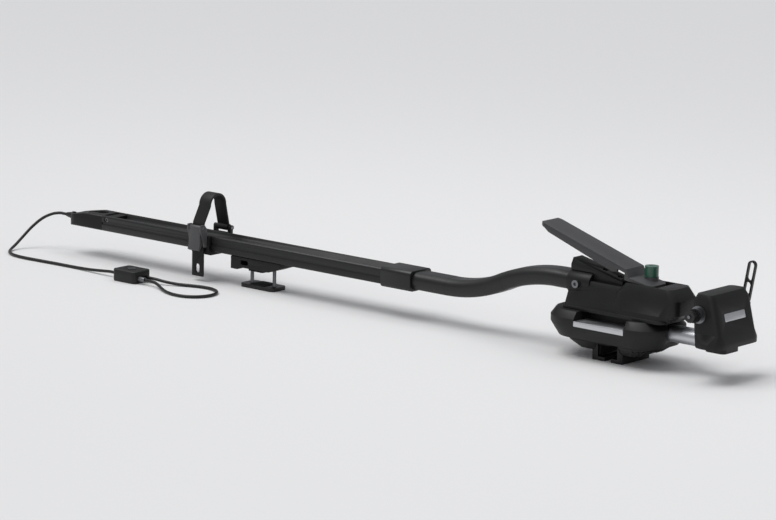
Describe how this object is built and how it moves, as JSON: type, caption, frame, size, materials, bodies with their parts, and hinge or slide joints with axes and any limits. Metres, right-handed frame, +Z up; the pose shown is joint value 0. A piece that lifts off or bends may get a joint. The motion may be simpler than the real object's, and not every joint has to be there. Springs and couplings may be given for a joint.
{
  "type": "fork-mount roof bike carrier",
  "caption": "Long tray rail with an S-bent neck, a lever clamp head, a fork block with a quick-release skewer, a sliding rear foot, a wheel strap and a cable lock.",
  "frame": {"origin": "middle of the front seat, on the face that rests on the front load bar", "axes": "+X along the rail to the fork block, +Y to the left, +Z up"},
  "size_m": [1.4391, 0.2283, 0.1925],
  "materials": {
    "black_metal": "black satin coating",
    "black_plastic": "black, fine grain",
    "cast_black": "black coated casting",
    "seat_rubber": "matt black rubber",
    "bare_steel": "zinc plated",
    "bare_aluminium": "bare satin",
    "grey_lever": "dark grey, smooth",
    "green_plug": "dark green",
    "skewer_black": "black coating",
    "strap_rubber": "black flexible strap",
    "buckle_grey": "mid grey",
    "cable_black": "black vinyl cover",
    "lock_black": "black shell"
  },
  "bodies": {
    "frame": {"tray_rail": "black_metal", "rail_end_cap": "black_plastic", "cap_screws": "bare_steel", "joint_sleeve": "black_metal", "joint_screws": "bare_steel", "neck_tube": "black_metal", "head_body": "black_plastic", "head_cheeks": "black_plastic", "head_nose": "black_plastic", "head_cover": "black_plastic", "cover_screws": "bare_steel", "neck_bolt": "bare_steel", "base_body": "black_plastic", "guide_plate": "bare_aluminium", "plate_screws": "bare_steel", "base_pad": "seat_rubber", "cam_block": "bare_steel", "front_beam": "bare_aluminium", "beam_bolts": "bare_steel", "fork_block": "black_plastic", "block_plate": "bare_aluminium", "hub_axle": "bare_steel", "dropout_washers": "bare_steel", "cable_gland": "cable_black", "lock_cable": "cable_black", "lock_loop": "cable_black", "cable_lock_body": "lock_black", "cable_ferrule": "bare_steel"},
    "front_claw": {"front_claw": "cast_black", "front_claw_pad": "seat_rubber", "draw_bolts": "bare_steel", "draw_nuts": "bare_steel", "lever_pin": "bare_steel"},
    "clamp_lever": {"clamp_lever": "grey_lever"},
    "lock_plug": {"lock_plug": "green_plug"},
    "rear_claw": {"rear_claw": "cast_black", "rear_claw_pad": "seat_rubber"},
    "skewer": {"skewer_rod": "bare_steel", "cam_pin": "bare_steel"},
    "skewer_cup": {"skewer_cup": "skewer_black"},
    "skewer_lever": {"skewer_lever": "skewer_black"},
    "skewer_nut": {"skewer_nut": "skewer_black"},
    "rear_foot": {"rear_bracket": "black_plastic", "rear_pad": "seat_rubber", "rear_bolts": "bare_steel", "slot_nuts": "bare_steel", "rear_clamp_plate": "black_metal", "rear_plate_pad": "seat_rubber"},
    "strap_slider": {"strap_saddle": "black_plastic", "wheel_strap": "strap_rubber", "strap_anchor_pin": "bare_steel", "buckle_body": "buckle_grey", "buckle_pin": "bare_steel"},
    "buckle_lever": {"buckle_lever": "buckle_grey"},
    "cable_lock_barrel": {"cable_lock_barrel": "bare_steel"}
  },
  "joints": [
    {"name": "front_claw_draw", "type": "slide", "parent": "frame", "child": "front_claw", "axis": [0, 0, -1], "range_m": [0, 0.0024]},
    {"name": "clamp_lever_hinge", "type": "hinge", "parent": "front_claw", "child": "clamp_lever", "pos_m": [0.04, 0, 0.084], "axis": [0, 1, 0], "range_deg": [0, 60]},
    {"name": "lock_plug_turn", "type": "hinge", "parent": "clamp_lever", "child": "lock_plug", "pos_m": [0.043, 0.0115, 0.1], "axis": [0, 0, 1], "range_deg": [0, 90]},
    {"name": "rear_claw_slide", "type": "slide", "parent": "frame", "child": "rear_claw", "axis": [-1, 0, 0], "range_m": [0, 0.03]},
    {"name": "skewer_draw", "type": "slide", "parent": "frame", "child": "skewer", "axis": [0, -1, 0], "range_m": [0, 0.0015]},
    {"name": "skewer_lever_hinge", "type": "hinge", "parent": "skewer", "child": "skewer_lever", "pos_m": [0.172, 0.07015, 0.072], "axis": [-0.9848, 0, 0.1736], "range_deg": [0, 170]},
    {"name": "skewer_cup_slide", "type": "slide", "parent": "skewer", "child": "skewer_cup", "axis": [0, -1, 0], "range_m": [0, 0.002]},
    {"name": "skewer_nut_spin", "type": "hinge", "parent": "skewer", "child": "skewer_nut", "pos_m": [0.172, -0.065, 0.072], "axis": [0, 1, 0], "continuous": true},
    {"name": "rear_foot_slide", "type": "slide", "parent": "frame", "child": "rear_foot", "axis": [1, 0, 0], "range_m": [-0.005, 0.15]},
    {"name": "strap_slide", "type": "slide", "parent": "frame", "child": "strap_slider", "axis": [1, 0, 0], "range_m": [-0.15, 0.03]},
    {"name": "buckle_lever_hinge", "type": "hinge", "parent": "strap_slider", "child": "buckle_lever", "pos_m": [-0.831, -0.0395, 0.06], "axis": [-1, 0, 0], "range_deg": [0, 100]},
    {"name": "cable_lock_turn", "type": "hinge", "parent": "frame", "child": "cable_lock_barrel", "pos_m": [-0.905, -0.112, -0.015], "axis": [0, 0, 1], "range_deg": [0, 90]}
  ],
  "couplings": [
    {"joint": "front_claw_draw", "follows": "clamp_lever_hinge", "m_per_rad": 0.0022917},
    {"joint": "skewer_draw", "follows": "skewer_lever_hinge", "m_per_rad": 0.00050554}
  ]
}
